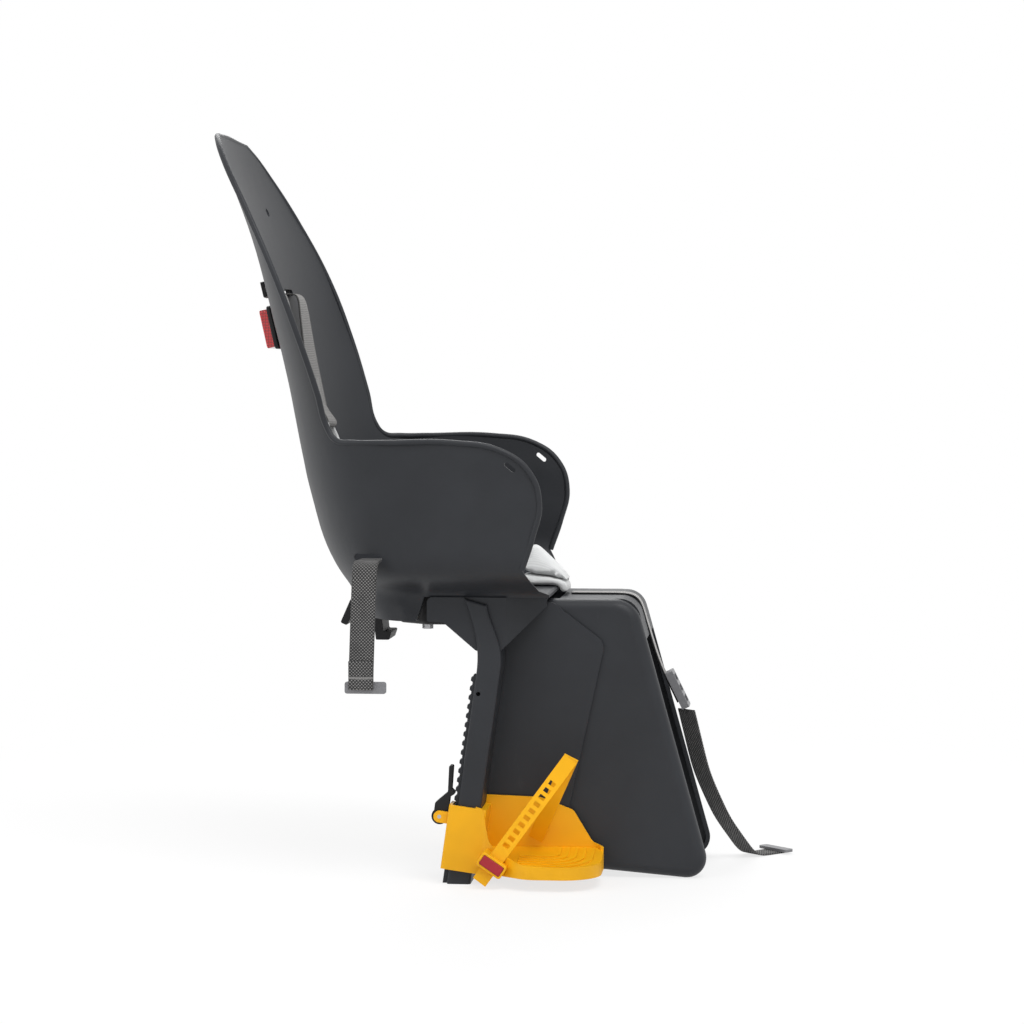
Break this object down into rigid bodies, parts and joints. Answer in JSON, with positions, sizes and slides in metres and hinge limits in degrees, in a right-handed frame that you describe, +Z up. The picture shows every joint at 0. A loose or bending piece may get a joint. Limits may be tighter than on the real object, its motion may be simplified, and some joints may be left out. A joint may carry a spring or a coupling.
{
  "type": "child bicycle seat",
  "caption": "Rear-mounted child bike seat with a moulded bucket, leg guards, sliding footrests on racks, webbing harness and a rear mounting latch.",
  "frame": {"origin": "middle of the bounding box at the floor", "axes": "+X forward, +Y to the child's left, +Z up"},
  "size_m": [0.6022, 0.3604, 0.769],
  "materials": {
    "shell": "satin moulded",
    "base": "matt moulded",
    "steel": "zinc plated",
    "lens": "clear prismatic red",
    "pad": "soft cloth",
    "light_webbing": "woven",
    "dark_webbing": "woven",
    "grey_plastic": "satin",
    "light_plastic": "satin",
    "footrest": "satin moulded",
    "button": "satin"
  },
  "bodies": {
    "seat": {"seat_shell": "shell", "mounting_base": "base", "latch_pin": "steel", "base_screws": "steel", "guard_screws": "steel", "reflector_housing": "base", "reflector_lens": "lens", "crotch_pad": "pad", "crotch_strap": "light_webbing", "strap_buckle": "grey_plastic", "strap_tail": "dark_webbing", "tail_end_plate": "grey_plastic", "right_leg_guard": "shell", "right_shoulder_strap": "light_webbing", "right_strap_ring": "light_plastic", "right_shoulder_anchor": "base", "right_waist_strap": "dark_webbing", "right_waist_end_plate": "grey_plastic", "left_leg_guard": "shell", "left_shoulder_strap": "light_webbing", "left_strap_ring": "light_plastic", "left_shoulder_anchor": "base", "left_waist_strap": "dark_webbing", "left_waist_end_plate": "grey_plastic"},
    "mount_latch": {"mount_latch": "base"},
    "right_footrest": {"right_footrest": "footrest", "right_lever_pin": "steel", "right_foot_strap": "footrest"},
    "right_latch_lever": {"right_latch_lever": "base"},
    "right_release_button": {"right_release_button": "button"},
    "left_footrest": {"left_footrest": "footrest", "left_lever_pin": "steel", "left_foot_strap": "footrest"},
    "left_latch_lever": {"left_latch_lever": "base"},
    "left_release_button": {"left_release_button": "button"}
  },
  "joints": [
    {"name": "mount_latch_turn", "type": "hinge", "parent": "seat", "child": "mount_latch", "pos_m": [-0.139, 0, 0.278], "axis": [0, 1, 0], "range_deg": [0, 18], "stiffness_Nm_per_rad": 0.2, "springref_deg": -11.46},
    {"name": "right_footrest_slide", "type": "slide", "parent": "seat", "child": "right_footrest", "axis": [0.1392, 0, 0.9903], "range_m": [0, 0.114]},
    {"name": "right_lever_turn", "type": "hinge", "parent": "right_footrest", "child": "right_latch_lever", "pos_m": [-0.05837, -0.1195, 0.06847], "axis": [0, 1, 0], "range_deg": [-30, 4.8], "stiffness_Nm_per_rad": 0.05},
    {"name": "right_button_press", "type": "slide", "parent": "right_footrest", "child": "right_release_button", "axis": [0, 1, 0], "range_m": [0, 0.002], "stiffness_N_per_m": 400},
    {"name": "left_footrest_slide", "type": "slide", "parent": "seat", "child": "left_footrest", "axis": [0.1392, 0, 0.9903], "range_m": [0, 0.114]},
    {"name": "left_lever_turn", "type": "hinge", "parent": "left_footrest", "child": "left_latch_lever", "pos_m": [-0.05837, 0.1195, 0.06847], "axis": [0, 1, 0], "range_deg": [-30, 4.8], "stiffness_Nm_per_rad": 0.05},
    {"name": "left_button_press", "type": "slide", "parent": "left_footrest", "child": "left_release_button", "axis": [0, -1, 0], "range_m": [0, 0.002], "stiffness_N_per_m": 400}
  ]
}
